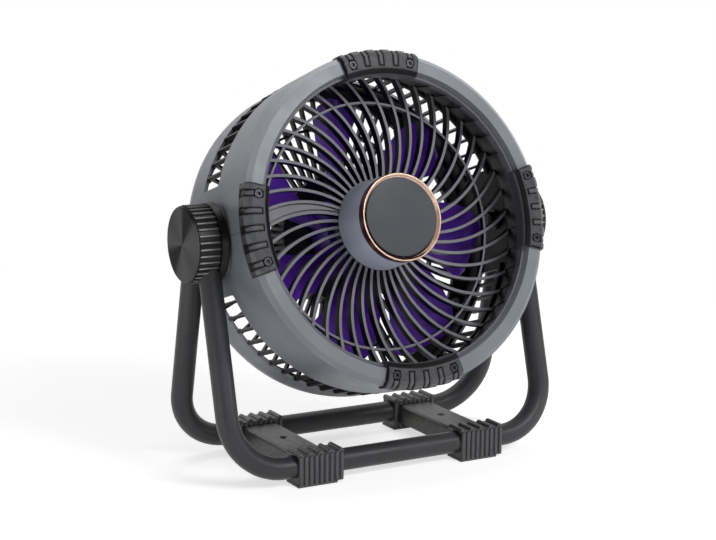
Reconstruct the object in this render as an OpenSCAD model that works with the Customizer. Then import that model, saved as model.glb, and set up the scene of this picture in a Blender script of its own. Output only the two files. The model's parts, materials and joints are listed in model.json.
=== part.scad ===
// Portable camping fan: a round drum with a swirl grille, tilting between two hubs on a bent tube stand.
// Millimetres, +Z up, front towards -Y. Inside the head, z runs forward along the fan's axis and y runs up.

/* [Stand] */
// Height of the lowest point of the drum above the floor
drum_lift = 56; // [50:0.5:70]
// Outside diameter of the bent tubes
tube_d = 19; // [16:0.5:22.8]
// Wall of the bent tubes
tube_wall = 1.2; // [1:0.1:2]
// Centre line radius of the tube bends
bend_r = 46.3; // [35:0.1:60]
// Half distance between the front and the rear bottom tube
base_half = 57.25; // [47.5:0.25:75]
// How far the base sits ahead of the tilt axis
base_ahead = 4; // [0:0.5:10]
// Distance from the tilt axis down to the cut end of the legs
leg_end_drop = 13; // [12:0.5:20]

/* [Plates and feet] */
// Distance of a plate's centre inward from the centre line of the legs
plate_inset = 74.2; // [66:0.1:82]
// Width of a channel plate
plate_w = 32.5; // [28:0.5:34]
// Sheet thickness of the plates
plate_t = 2; // [1.5:0.1:3]
// Height of the lower edge of the plate walls
plate_low = 6.6; // [6:0.1:10]
// Radius of the mounting hole in the middle of each plate
plate_hole_r = 2.2; // [1.5:0.1:3]
// Radius of the countersink of that hole
plate_sink_r = 4.1; // [3.5:0.1:5]
// Width of a rubber foot along the tube
foot_w = 43.2; // [40:0.2:46]
// Number of upright ribs on the front and back of a foot
foot_ribs = 9; // [7:2:11]

/* [Tilt hubs] */
// Radius of a tilt hub over its ribs
hub_r = 32.6; // [30:0.2:39.2]
// Number of ribs round a hub
hub_ribs = 36; // [24:1:40]
// Length of the smooth collar of a hub, next to the drum
collar_w = 7; // [4:0.5:8]
// Radius of the pivot bolt
bolt_r = 4; // [3:0.1:4.8]

/* [Head] */
// Tilt of the fan's axis above level
tilt = 17.5; // [0:0.5:30]
// Radius of the barrel
barrel_r = 142.4; // [118:0.1:171]
// Wall of the shell
shell_wall = 2.4; // [2.2:0.1:3]
// Distance of the front face from the tilt axis
face_d = 66.4; // [62:0.2:72]
// Width of the flat front face
face_w = 10; // [8.5:0.1:11]
// Distance behind the tilt axis where the head ends
rear_d = 66; // [64:0.5:80]
// Front edge of the vent windows, forward of the tilt axis
vent_front = 6.5; // [4:0.5:9]
// Rear edge of the vent windows, behind the tilt axis
vent_rear = 28; // [20:0.5:36]
// Number of ribs in each vent window
vent_ribs = 26; // [18:1:30]
// How much wider the air duct is at the grille than at its front lip
duct_flare = 7; // [4:0.5:7]

/* [Corner guards] */
// Half angle of a corner guard
guard_half = 15.5; // [14.5:0.1:18]
// Height of a guard above the front face
guard_proud = 4.2; // [3.4:0.1:6]
// Angle from the middle of a guard to its screws
guard_screw_a = 11.97; // [11.5:0.01:12.5]

/* [Front grille] */
// Distance of the grille's front face from the tilt axis
grille_d = 28; // [24:0.5:32]
// Depth of the grille ribs
rib_depth = 8; // [6:0.5:9]
// Width of the grille ribs
rib_w = 2.6; // [2:0.1:3.2]
// Number of grille ribs
rib_n = 45; // [30:1:48]
// Radius that each rib is curved to
rib_arc_r = 95.5; // [85:0.5:120]
// Angle where the first rib leaves the hub
rib_phase = 3.2; // [0:0.1:8]
// The rib after which the wide flat spoke lies
spoke_after = 19; // [0:1:29]

/* [Centre pod] */
// Radius of the pod at the grille
pod_r = 39; // [34:0.2:47]
// Distance of the front of the copper ring from the tilt axis
ring_d = 68.6; // [64:0.2:72]
// Depth of the copper ring
ring_depth = 5.2; // [4:0.1:7]

/* [Rotor] */
// Number of blades
blade_n = 7; // [5:1:9]
// Radius of the rotor hub
rotor_r = 36; // [34:0.5:38]
// Distance of the trailing edges from the tilt axis
blade_front = 3; // [0:0.5:8]
// Distance of the leading edges behind the tilt axis, at the hub
blade_rear = 27; // [20:0.5:30]
// Greatest thickness of a blade
blade_t = 2.4; // [1.6:0.1:3.2]
// Turn of the rotor at rest
rotor_phase = 0; // [0:1:51]

/* [Rear housing] */
// Radius of the rear housing
housing_r = 57; // [55:0.5:64]
// Distance of the rear cover's back face behind the tilt axis
cover_d = 75; // [73:0.5:80]
// Number of ribs of the rear grille
rear_ribs = 60; // [40:1:72]
// Radius of a battery cell
cell_r = 9.2; // [7.6:0.1:9.2]
// Length of a battery cell
cell_len = 65; // [54:1:68]

/* [Hidden] */

$fn = 96;
eps = 0.01;             // makes a cutter pass its face
seat = 0.1;             // gap between pieces that seat on each other
run = 0.05;             // radial gap of a shaft in its bore
swing = 0.3;            // gap between faces that move past each other

// sizes of the stand that follow the tube and the drum
tube_r = tube_d / 2;
bore_r = tube_r - tube_wall;
tube_low_h = tube_r + 6.05;                 // height of the centre line of the bottom tubes
hub_in = barrel_r + 0.6;                    // distance from the middle to the inner face of a hub
leg_x = hub_in + tube_r + 1.9;              // distance from the middle to the centre line of a leg
hub_out = leg_x + tube_r + 7.4;             // distance from the middle to the outer face of a hub cap
leg_split = tube_r + 0.9;                   // half distance between two legs at the tilt axis
pivot_h = barrel_r + drum_lift;             // height of the tilt axis above the floor
boss_x = hub_in - 0.4;                      // outer face of the flat pivot pads on the drum
pad_in_x = boss_x - 6.2;                    // inner face of those pads
front_y = base_half + base_ahead;
rear_y = base_half - base_ahead;
rise = pivot_h - tube_low_h;
plate_x = leg_x - plate_inset;              // distance from the middle to the centre of a plate
plate_top = tube_low_h + tube_r - 1.55;     // top face of the plates, just under the top of the tubes
foot_depth = tube_d + 4.4;
foot_h = tube_low_h + tube_r + 4.15;

// radii and depths of the drum that follow the barrel
face_r = barrel_r - 4.3;                    // outer radius of the flat front face
face_in_r = face_r - face_w;                // inner radius of the flat front face
duct_r = face_in_r - 4.1;                   // inside radius of the air duct at its front lip
duct_back_r = duct_r + duct_flare;          // the same at the grille
rim_r = barrel_r - 1.4;                     // radius of the drum behind the vent windows
rim_end_r = rim_r - 3.8;                    // radius of the rear end of the rim
pad_half = asin((hub_r + 13.3) / barrel_r); // half angle of the closed barrel at each tilt hub
guard_d = face_d + guard_proud;
guard_r = barrel_r + 1.7;                   // outer radius of a guard
guard_lip_r = barrel_r - 4.4;               // outer edge of a guard's flat front
guard_screw_r = barrel_r - 9.4;             // radius of the circle that the guard screws sit on
mid_ring_r = duct_r - 17.1;                 // radius of the grille's thin middle ring
tip_r = duct_r - 5.6;                       // radius of the blade tips
front_reach = guard_lip_r * sin(tilt) + guard_d * cos(tilt);
rear_reach = rim_end_r * sin(tilt) + rear_d * cos(tilt);
centre_y = (front_reach - rear_reach) / 2;  // puts the middle of the whole fan over the origin

C_TUBE = [0.20, 0.21, 0.22];
C_RUBBER = [0.13, 0.13, 0.14];
C_PLATE = [0.44, 0.44, 0.45];
C_SHELL = [0.56, 0.57, 0.60];
C_BLACK = [0.10, 0.10, 0.11];
C_GRILLE = [0.42, 0.43, 0.45];
C_VIOLET = [0.27, 0.12, 0.50];
C_COPPER = [0.78, 0.52, 0.40];
C_STEEL = [0.62, 0.63, 0.65];

// ---------- frames ----------

module whole() {
    translate([0, centre_y, 0]) children();
}

module head() {
    whole() translate([0, 0, pivot_h]) rotate([90 - tilt, 0, 0]) children();
}

// x axis of the child runs outward from the drum on the given side
module pivot_side(side) {
    whole() translate([0, 0, pivot_h]) mirror([side < 0 ? 1 : 0, 0, 0]) rotate([0, 90, 0]) children();
}

module ring(r_out, r_in, z0, z1) {
    translate([0, 0, z0]) difference() {
        cylinder(r = r_out, h = z1 - z0);
        translate([0, 0, -1]) cylinder(r = r_in, h = z1 - z0 + 2);
    }
}

module around(count, first = 0) {
    for (i = [0 : count - 1]) rotate([0, 0, first + i * 360 / count]) children();
}

// ---------- stand ----------

// one bent tube lying in the XZ plane, bottom run on z = 0, legs of the given length
module bent_bar(r, leg_len) {
    flat = leg_x - bend_r;
    translate([-flat, 0, 0]) rotate([0, 90, 0]) cylinder(r = r, h = 2 * flat);
    for (s = [0, 1]) mirror([s, 0, 0]) {
        translate([flat, 0, bend_r]) rotate([90, 0, 0]) rotate([0, 0, -90])
            rotate_extrude(angle = 90) translate([bend_r, 0]) circle(r = r);
        translate([leg_x, 0, bend_r]) cylinder(r = r, h = leg_len - bend_r);
    }
}

// lean of a leg and its length, from the foot point to the cut end below the tilt axis
function lean(foot_y) = atan2(foot_y - leg_split, rise);
function leg_length(foot_y) = (rise - leg_end_drop) / cos(lean(foot_y));

module stand_tube(foot_y) {
    len = leg_length(foot_y);
    difference() {
        rotate([-lean(foot_y), 0, 0]) difference() {
            bent_bar(tube_r, len);
            bent_bar(bore_r, len + 1);
        }
        for (s = [-1, 1]) translate([s * plate_x, 0, -tube_r - 1])
            cylinder(r = screw_r, h = tube_wall + 2);
    }
}

module front_tube() {
    color(C_TUBE) whole() translate([0, -front_y, tube_low_h]) stand_tube(front_y);
}

module rear_tube() {
    color(C_TUBE) whole() translate([0, rear_y, tube_low_h]) mirror([0, 1, 0]) stand_tube(rear_y);
}

// corner points of a bend of radius r about [x, z], from angle a0 to a1
function bend(x, z, r, a0, a1, n = 6) =
    [for (i = [0 : n]) let (a = a0 + (a1 - a0) * i / n) [x + r * cos(a), z + r * sin(a)]];

// channel plate over both bottom tubes, notched to sit against them
module channel() {
    span = front_y + rear_y;
    sink_h = plate_t / 2;
    half = plate_w / 2;
    bend_out = plate_t + 0.6;
    bend_in = 0.6;
    x = half - bend_out;
    z = plate_top - bend_out;
    difference() {
        translate([0, rear_y, 0]) rotate([90, 0, 0]) linear_extrude(span)
            polygon(concat([[-half, plate_low]],
                bend(-x, z, bend_out, 180, 90), bend(x, z, bend_out, 90, 0),
                [[half, plate_low], [half - plate_t, plate_low]], bend(x, z, bend_in, 0, 90, 3),
                bend(-x, z, bend_in, 90, 180, 3), [[plate_t - half, plate_low]]));
        for (y = [-front_y, rear_y]) translate([-plate_w, y, tube_low_h]) rotate([0, 90, 0])
            cylinder(r = tube_r + seat, h = 2 * plate_w);
        translate([0, -base_ahead, plate_top - plate_t - 1]) cylinder(r = plate_hole_r, h = plate_t + 2);
        translate([0, -base_ahead, plate_top - sink_h])
            cylinder(r1 = plate_hole_r, r2 = plate_sink_r + eps, h = sink_h + eps);
    }
}

module plate_left() {
    color(C_PLATE) whole() translate([-plate_x, 0, 0]) channel();
}

module plate_right() {
    color(C_PLATE) whole() translate([plate_x, 0, 0]) channel();
}

screw_r = 2.1;              // shank radius of the foot screws
screw_head_r = 3.8;
screw_head_z = 1.4;         // the heads sit this high inside the sole
screw_head_h = 2.6;
sole_w = foot_w - 6.6;      // the sole is shorter than the ribbed body
sole_t = 1.8;
foot_left_x = -plate_x - 20.4;  // both feet of a tube run the same way, they aren't mirror images
foot_right_x = plate_x - 21.8;
rib_pitch = foot_w / foot_ribs;
ridge_r = rib_pitch * 0.56;
ridge_high = 2.3;           // height of the ridges on top of a foot

// rubber foot, x from 0 to foot_w, tube centre on y = 0
module foot(plate_at) {
    rib_r = rib_pitch * 0.43;
    core = foot_depth / 2 - rib_pitch * 0.3;
    body_h = foot_h - ridge_high;
    difference() {
        union() {
            translate([0.6, -core, sole_t - 0.2]) cube([foot_w - 1.2, 2 * core, body_h - sole_t + 0.2]);
            translate([0, -foot_depth / 2 + 0.5, 0]) cube([sole_w, foot_depth - 1, sole_t]);
            for (i = [0 : (foot_ribs - 1) / 2])
                translate([(2 * i + 0.5) * rib_pitch, core - 0.3, foot_h - ridge_r])
                    rotate([90, 0, 0]) cylinder(r = ridge_r, h = 2 * core - 0.6, $fn = 48);
            for (i = [0 : foot_ribs - 1], s = [-1, 1])
                translate([(i + 0.5) * rib_pitch, s * (foot_depth / 2 - rib_r), 0])
                    foot_rib(i, rib_r, body_h);
        }
        translate([-1, 0, tube_low_h]) rotate([0, 90, 0]) cylinder(r = tube_r + seat, h = foot_w + 2);
        translate([plate_at - plate_w / 2 - seat, 0, plate_low - seat])
            cube([plate_w + 2 * seat, foot_depth, plate_top - plate_low + 2 * seat]);
        translate([plate_at, 0, -1]) cylinder(r = screw_r + seat, h = tube_low_h);
        translate([plate_at, 0, -1]) cylinder(r = screw_head_r + 0.3, h = screw_head_z + screw_head_h + 1);
    }
}

// upright half-round rib with domed ends; the ones past the sole hang free of the floor
module foot_rib(i, r, top) {
    low = (i + 0.5) * rib_pitch + r < sole_w ? sole_t - 0.6 : sole_t + 0.3 + r;
    translate([0, 0, low]) cylinder(r = r, h = top - r - low, $fn = 32);
    translate([0, 0, top - r]) sphere(r = r, $fn = 32);
    if (low > sole_t) translate([0, 0, low]) sphere(r = r, $fn = 32);
}

module foot_front_left() {
    color(C_RUBBER) whole() translate([foot_left_x, -front_y, 0]) foot(-plate_x - foot_left_x);
}

module foot_front_right() {
    color(C_RUBBER) whole() translate([foot_right_x, -front_y, 0]) foot(plate_x - foot_right_x);
}

module foot_rear_left() {
    color(C_RUBBER) whole() translate([foot_left_x, rear_y, 0]) mirror([0, 1, 0])
        foot(-plate_x - foot_left_x);
}

module foot_rear_right() {
    color(C_RUBBER) whole() translate([foot_right_x, rear_y, 0]) mirror([0, 1, 0])
        foot(plate_x - foot_right_x);
}

module foot_screws() {
    color(C_STEEL) whole() for (x = [-plate_x, plate_x], y = [-front_y, rear_y])
        translate([x, y, screw_head_z]) {
            cylinder(r = screw_head_r, h = screw_head_h);
            cylinder(r = screw_r - run, h = tube_low_h - bore_r + 3 - screw_head_z);
        }
}

// ---------- tilt hubs ----------

bolt_head_r = bolt_r + 2.5;
bolt_head_h = 7;
bolt_seat_x = hub_out - 10.3;           // where the head of the pivot bolt rests inside the hub
cap_r = hub_r - 1.1;                    // the cap covers the hub's end, ribs excepted
cap_t = 1.7;
cap_plug_r = hub_r - 6.6;               // boss under the cap that centres it in the hub
cap_plug_h = 0.7;
hub_end = hub_out - cap_t - seat;
nut_t = 6.5;
washer_t = 1.6;
bolt_end_x = pad_in_x - washer_t - nut_t - 1;

// hub along z, from the drum outwards
module hub_form() {
    rib_r = 1.1;
    rib_high = 1.6;
    body_r = hub_r - rib_high;
    collar_r = hub_r + 1.9;
    skirt = 2;
    rotate_extrude() polygon([[0, hub_in], [collar_r - skirt, hub_in], [collar_r - 0.6, hub_in + 0.7],
        [collar_r, hub_in + skirt], [hub_r + 0.3, hub_in + collar_w], [body_r, hub_in + collar_w],
        [body_r, hub_end - 0.8], [body_r - 0.8, hub_end], [0, hub_end]]);
    around(hub_ribs) translate([hub_r - rib_r, 0, hub_in + collar_w - 0.5]) {
        cylinder(r = rib_r, h = hub_end - hub_in - collar_w - 0.9, $fn = 24);
        translate([0, 0, hub_end - hub_in - collar_w - 0.9]) sphere(r = rib_r, $fn = 24);
    }
}

module hub(side) {
    color(C_BLACK) difference() {
        pivot_side(side) difference() {
            hub_form();
            translate([0, 0, hub_in - 1]) cylinder(r = bolt_r + run, h = hub_out);
            translate([0, 0, bolt_seat_x]) cylinder(r = bolt_head_r + 0.4, h = hub_out);
            translate([0, 0, hub_end - cap_plug_h]) cylinder(r = cap_plug_r + seat, h = cap_t + 1);
        }
        whole() mirror([side < 0 ? 1 : 0, 0, 0]) {
            translate([0, -front_y, tube_low_h]) rotate([-lean(front_y), 0, 0])
                translate([leg_x, 0, bend_r])
                    cylinder(r = tube_r + run, h = leg_length(front_y) - bend_r + seat);
            translate([0, rear_y, tube_low_h]) rotate([lean(rear_y), 0, 0])
                translate([leg_x, 0, bend_r])
                    cylinder(r = tube_r + run, h = leg_length(rear_y) - bend_r + seat);
        }
    }
}

module hub_left() {
    hub(-1);
}

module hub_right() {
    hub(1);
}

module hub_cap(side) {
    edge = 0.5;
    color([0.22, 0.22, 0.23]) pivot_side(side)
        rotate_extrude() polygon([[0, hub_end - cap_plug_h + seat],
            [cap_plug_r, hub_end - cap_plug_h + seat], [cap_plug_r, hub_end + seat],
            [cap_r, hub_end + seat], [cap_r, hub_out - edge],
            [cap_r - edge, hub_out], [0, hub_out]]);
}

module hub_cap_left() {
    hub_cap(-1);
}

module hub_cap_right() {
    hub_cap(1);
}

module pivot_bolts() {
    color(C_STEEL) for (side = [-1, 1]) pivot_side(side) difference() {
        union() {
            translate([0, 0, bolt_seat_x]) cylinder(r = bolt_head_r, h = bolt_head_h);
            translate([0, 0, bolt_end_x]) cylinder(r = bolt_r, h = bolt_seat_x + 1 - bolt_end_x);
        }
        translate([0, 0, bolt_seat_x + bolt_head_h - 4]) cylinder(r = bolt_r - 0.6, h = 5, $fn = 6);
    }
}

module pivot_nuts() {
    color(C_STEEL) for (side = [-1, 1]) pivot_side(side) difference() {
        union() {
            translate([0, 0, pad_in_x - washer_t - nut_t - swing])
                cylinder(r = bolt_r + 3.2, h = nut_t + eps, $fn = 6);
            translate([0, 0, pad_in_x - washer_t - swing]) cylinder(r = bolt_r + 5, h = washer_t);
        }
        translate([0, 0, pad_in_x - 20]) cylinder(r = bolt_r, h = 40);
    }
}

// ---------- drum ----------

lip_r = duct_r + 2.5;       // inner lip of the front ring, over the duct
lip_d = face_d - 4.4;       // where the inner chamfer of the front ring meets the lip
lip_end_d = face_d - 8.4;   // rear end of the lip
duct_wall = 2.3;
duct_back_d = grille_d + seat;
ledge_r = barrel_r - 11.9;  // inner radius of the ledge that carries the rear grille
ledge_d = 60;
boss_r = 3.8;               // screw bosses behind the front face

module shell_profile() {
    inner_r = barrel_r - shell_wall;
    rim_in_r = rim_r - shell_wall;
    back_d = face_d - shell_wall;
    polygon([[face_in_r, face_d + 0.3], [face_r, face_d], [barrel_r, face_d - 3.8],
        [barrel_r, 2 - vent_rear], [rim_r, -vent_rear], [rim_r, 13 - rear_d],
        [rim_r - 0.9, 6 - rear_d], [rim_end_r, -rear_d], [ledge_r + 5, -rear_d],
        [ledge_r + 5, -ledge_d], [ledge_r, -ledge_d], [ledge_r, 2.5 - ledge_d],
        [rim_in_r, 6 - ledge_d], [rim_in_r, -vent_rear], [inner_r, 3 - vent_rear],
        [inner_r, face_d - 6], [face_r - 2, back_d], [lip_r + 4, back_d],
        [lip_r + 2.4, lip_end_d], [lip_r, lip_end_d], [lip_r, lip_d]]);
}

// vent window, with round corners, through the upper half of the barrel
module vent_window() {
    corner = 2.5;
    corner_a = corner / barrel_r * 180 / PI;
    span = 180 - 2 * pad_half;
    height = vent_front + vent_rear;
    deep = 14;
    rotate([0, 0, pad_half + corner_a]) rotate_extrude(angle = span - 2 * corner_a)
        translate([barrel_r - deep, -vent_rear]) square([2 * deep, height]);
    rotate([0, 0, pad_half]) rotate_extrude(angle = span)
        translate([barrel_r - deep, corner - vent_rear]) square([2 * deep, height - 2 * corner]);
    for (a = [pad_half + corner_a, 180 - pad_half - corner_a])
        for (d = [vent_front - corner, corner - vent_rear])
            rotate([0, 0, a]) translate([barrel_r - deep + 1, 0, d]) rotate([0, 90, 0])
                cylinder(r = corner + run, h = 2 * deep - 2, $fn = 48);
}

module shell_half() {
    pad_r = hub_r - 2.2;
    difference() {
        union() {
            difference() {
                rotate_extrude(angle = 180) shell_profile();
                vent_window();
            }
            intersection() {
                union() {
                    for (s = [-1, 1]) rotate([0, s * 90, 0]) translate([0, 0, pad_in_x])
                        cylinder(r = pad_r, h = boss_x - pad_in_x);
                }
                translate([-200, 0, -vent_rear + 6]) cube([400, pad_r, 2 * pad_r]);
            }
            for (a = guard_screw_angles()) if (a > 0 && a < 180) rotate([0, 0, a])
                translate([guard_screw_r, 0, face_d - 12])
                    cylinder(r = boss_r, h = 12 - shell_wall + 1, $fn = 32);
            for (a = [30 : 60 : 150]) rotate([0, 0, a])
                translate([rear_screw_r + 1, 0, 1 - ledge_d]) cylinder(r = 3.4, h = 8, $fn = 32);
        }
        rotate([0, 90, 0]) translate([0, 0, -200]) cylinder(r = bolt_r + run, h = 400);
        for (a = guard_screw_angles()) if (a > 0 && a < 180) rotate([0, 0, a])
            translate([guard_screw_r, 0, face_d - 13]) cylinder(r = guard_bolt_r, h = 20, $fn = 24);
        for (a = [30 : 60 : 150]) rotate([0, 0, a]) translate([rear_screw_r, 0, -rear_d])
            cylinder(r = rear_bolt_r, h = 12, $fn = 24);
    }
}

module upper_shell() {
    color(C_SHELL) head() shell_half();
}

module lower_shell() {
    color(C_SHELL) head() rotate([0, 0, 180]) shell_half();
}

// widens from the front lip to the grille, with a groove in its face at the root of each swirl rib
module air_duct() {
    flange_r = barrel_r - shell_wall - 0.2;
    flange_t = 2;
    skirt_r = duct_back_r + 4.6;
    groove_deep = 0.9;
    groove_a = 1.8;
    front = lip_d - 0.3;
    slope = duct_flare / (front - duct_back_d);
    groove_d0 = duct_back_d + 1.2;
    groove_d1 = lip_end_d - 1.6;
    color([0.24, 0.24, 0.26]) head() difference() {
        rotate_extrude() polygon([[duct_r + duct_wall + 1.3, lip_end_d - 1.5],
            [duct_r + duct_wall, lip_end_d - 0.2],
            [duct_r + duct_wall, front], [duct_r, front], [duct_back_r, duct_back_d],
            [skirt_r, duct_back_d], [skirt_r, duct_back_d - 6], [skirt_r + 1.6, duct_back_d - 6],
            [skirt_r + 1.6, duct_back_d], [flange_r, duct_back_d], [flange_r, duct_back_d + flange_t],
            [duct_back_r + duct_wall - slope * flange_t, duct_back_d + flange_t]]);
        around(rib_n, rib_phase + rib_angle(duct_back_r) - groove_a / 2) rotate_extrude(angle = groove_a)
            polygon([[duct_r - 3, groove_d0 - 0.6], [duct_back_r + groove_deep - slope * 1.2, groove_d0],
                [duct_r + groove_deep + slope * (front - groove_d1), groove_d1],
                [duct_r - 3, groove_d1 + 0.6]]);
        for (s = [-1, 1]) rotate([0, s * 90, 0]) translate([0, 0, pad_in_x - seat])
            cylinder(r = hub_r - 2, h = 10);
    }
}

// ribs across the upper vent window, on two bands that lie behind its edges
module vent_grille() {
    band_out_f = barrel_r - shell_wall - 0.2;
    band_out_r = rim_r - shell_wall - 0.2;
    band_f = 4.4;
    band_r = 1.5;
    rear = 3.2;                     // the rear band lies this far behind the window
    band_w = 3;
    first = pad_half + 2.5;
    last = 180 - pad_half - 5.2;    // the ribs aren't centred, the same part serves both windows
    step = (last - first) / (vent_ribs - 1);
    rib_t = 2.1;
    rib_in = barrel_r - 4.4;        // inner edge of the ribs, and of their tails under the rim
    tail_in = band_out_r - 2.2;
    tail_out = band_out_r - 0.3;
    tail_end = -vent_rear - rear - 2;
    band_a = pad_half - 1.6;
    rotate([0, 0, band_a]) rotate_extrude(angle = 180 - 2 * band_a) {
        translate([band_out_f - band_f, vent_front + 0.1]) square([band_f, 3.8]);
        translate([band_out_r - band_r, -vent_rear - rear - band_w]) square([band_r, band_w]);
    }
    for (i = [0 : vent_ribs - 1]) rotate([0, 0, first + i * step]) rotate([90, 0, 0])
        translate([0, 0, -rib_t / 2]) linear_extrude(rib_t)
            polygon([[tail_in, tail_end], [tail_out, tail_end], [tail_out, 0.1 - vent_rear],
                [rim_r - 0.2, 0.1 - vent_rear], [barrel_r - 0.4, 2.2 - vent_rear],
                [barrel_r - 0.4, vent_front - 0.1], [band_out_f - 0.3, vent_front - 0.1],
                [band_out_f - 0.3, vent_front + 2], [rib_in, vent_front + 2], [rib_in, 3 - vent_rear],
                [tail_in, -vent_rear - 1]]);
}

module vent_grille_upper() {
    color(C_BLACK) head() vent_grille();
}

module vent_grille_lower() {
    color(C_BLACK) head() rotate([0, 0, 180]) vent_grille();
}

// ---------- corner guards ----------

guard_bolt_r = 1.9;
guard_head_r = 3.4;
guard_back_d = face_d - 11;
lump_drop = 0.25;           // the lumps lie this far under the highest surface of a guard
groove_drop = 1.05;         // and the floors of the grooves this far

function guard_screw_angles() = [for (g = [0 : 90 : 270], s = [-1, 1]) g + s * guard_screw_a];

// outer surface of a guard in section, lowered by h and on the side by s more, from radius r0 on
// the face to depth d1 on the side
function guard_surface(h, r0, d1, s = 0) = [
    [r0, guard_d - h], [guard_lip_r - 0.4 * h, guard_d - h],
    [guard_r - 2.6 - 0.8 * h - 0.4 * s, face_d + 2 - 0.8 * h - 0.4 * s],
    [guard_r - h - s, face_d - 1.4 - 0.4 * h], [guard_r - h - s, d1]];

// body of a guard in section, wrapped round the shell's front corner; the grooves end on raised borders
module guard_section() {
    gap = 0.15;
    in_r = duct_r - 2.2;
    border = lump_drop + 0.1;
    polygon(concat([[in_r, face_d - 11], [in_r, face_d - 0.4], [in_r + 1.6, face_d + 2.2],
        [face_in_r - 0.6, guard_d - border], [face_in_r + 0.4, guard_d - border]],
        guard_surface(groove_drop, face_in_r + 0.8, guard_back_d + 1.6),
        [[guard_r - border, guard_back_d + 1.2], [guard_r - border, guard_back_d],
        [barrel_r + gap, guard_back_d], [barrel_r + gap, face_d - 3.7], [face_r + gap, face_d + gap],
        [face_in_r - gap, face_d + 0.3 + gap], [lip_r - gap, lip_d], [duct_r - gap, lip_d - 0.2],
        [duct_r - gap, face_d - 11]]));
}

// raised part in section, rooted inside the body
module guard_raised_section(h, r0, d1, s) {
    root_r = barrel_r + 0.35;
    polygon(concat([[r0, guard_d - 2]], guard_surface(h, r0, d1, s),
        [[root_r, d1], [root_r, face_d - 3.2], [face_r + 0.6, face_d + 0.6],
        [guard_lip_r - 4, face_d + 0.9]]));
}

// guard centred on angle 0: five narrow bars in grooves, lower on the side, wide lumps between them
module guard() {
    bar_n = 5;
    bar_step = guard_screw_a / 2;
    bar_half = 0.8;
    groove_half = 1.22;
    last = (bar_n - 1) / 2;
    difference() {
        union() {
            rotate([0, 0, -guard_half]) rotate_extrude(angle = 2 * guard_half) guard_section();
            for (i = [-last : last + 1]) {
                a0 = i == -last ? 0.3 - guard_half : (i - 1) * bar_step + groove_half;
                a1 = i == last + 1 ? guard_half - 0.3 : i * bar_step - groove_half;
                rotate([0, 0, a0]) rotate_extrude(angle = a1 - a0)
                    guard_raised_section(lump_drop + 0.2, face_in_r - 0.2, guard_back_d + 0.3, 0.05);
                rotate([0, 0, a0 + 0.3]) rotate_extrude(angle = a1 - a0 - 0.6)
                    guard_raised_section(lump_drop, face_in_r + 0.2, guard_back_d + 0.7, -0.22);
            }
            for (i = [-last : last]) {
                r0 = abs(i) == last ? guard_lip_r - 0.6 : face_in_r + 1.8;
                rotate([0, 0, i * bar_step - bar_half]) rotate_extrude(angle = 2 * bar_half)
                    guard_raised_section(0.3, r0, guard_back_d + 2.6, 0.55);
                rotate([0, 0, i * bar_step - bar_half * 0.62]) rotate_extrude(angle = 1.24 * bar_half)
                    guard_raised_section(0, r0 + 0.3, guard_back_d + 3.1, 0.65);
            }
        }
        for (s = [-1, 1]) rotate([0, 0, s * guard_screw_a]) translate([guard_screw_r, 0, 0]) {
            translate([0, 0, face_d - 1]) cylinder(r = guard_bolt_r + seat, h = 10, $fn = 24);
            translate([0, 0, guard_d - 2.4]) cylinder(r = guard_head_r + 0.7, h = 5, $fn = 32);
        }
    }
}

module guard_right() {
    color(C_BLACK) head() guard();
}

module guard_top() {
    color(C_BLACK) head() rotate([0, 0, 90]) guard();
}

module guard_left() {
    color(C_BLACK) head() rotate([0, 0, 180]) guard();
}

module guard_bottom() {
    color(C_BLACK) head() rotate([0, 0, 270]) guard();
}

module guard_screws() {
    color([0.3, 0.3, 0.31]) head() for (a = guard_screw_angles()) rotate([0, 0, a])
        translate([guard_screw_r, 0, guard_d]) difference() {
            union() {
                translate([0, 0, -2.4]) cylinder(r = guard_head_r, h = 2.2, $fn = 32);
                translate([0, 0, -14]) cylinder(r = guard_bolt_r - run, h = 13, $fn = 24);
            }
            translate([0, 0, -1.8]) cylinder(r = 1.7, h = 3, $fn = 6);
        }
}

// ---------- front grille ----------

grille_ring_r = duct_back_r + 4.4;      // the ring that carries the ribs lies behind the duct's rear edge
grille_hub_r = pod_r + 0.5;
rib_start_r = grille_hub_r - 1.5;
rib_inset = 0.3;            // ribs lie this far under the rings' faces

// turn along the rib's own arc at which it reaches the radius r
function rib_turn(r) =
    let (c = sqrt(rib_start_r * rib_start_r + rib_arc_r * rib_arc_r))
    acos((rib_arc_r * rib_arc_r + c * c - r * r) / (2 * rib_arc_r * c)) - acos(rib_arc_r / c);

// angle about the fan's axis at which a rib reaches the radius r
function rib_angle(r) =
    let (turn = rib_turn(r)) atan2(rib_arc_r * (1 - cos(turn)), rib_start_r + rib_arc_r * sin(turn));

module swirl_rib() {
    translate([rib_start_r, rib_arc_r, 0]) rotate([0, 0, -90])
        rotate_extrude(angle = rib_turn(grille_ring_r - 1.2))
            translate([rib_arc_r - rib_w / 2, grille_d - rib_depth + rib_inset])
                square([rib_w, rib_depth - 2 * rib_inset]);
}

// the field between two neighbouring ribs, each side drawn in by the given gap
module between_ribs(gap, z0, z1) {
    step = 360 / rib_n;
    intersection() {
        difference() {
            translate([rib_start_r, rib_arc_r, z0]) cylinder(r = rib_arc_r - gap, h = z1 - z0, $fn = 180);
            rotate([0, 0, step]) translate([rib_start_r, rib_arc_r, z0 - 1])
                cylinder(r = rib_arc_r + gap, h = z1 - z0 + 2, $fn = 180);
        }
        ring(grille_ring_r - 1, grille_hub_r - 1, z0, z1);
        rotate([0, 0, -30]) translate([0, 0, z0 - 1]) cube([200, 200, z1 - z0 + 2]);
    }
}

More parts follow.
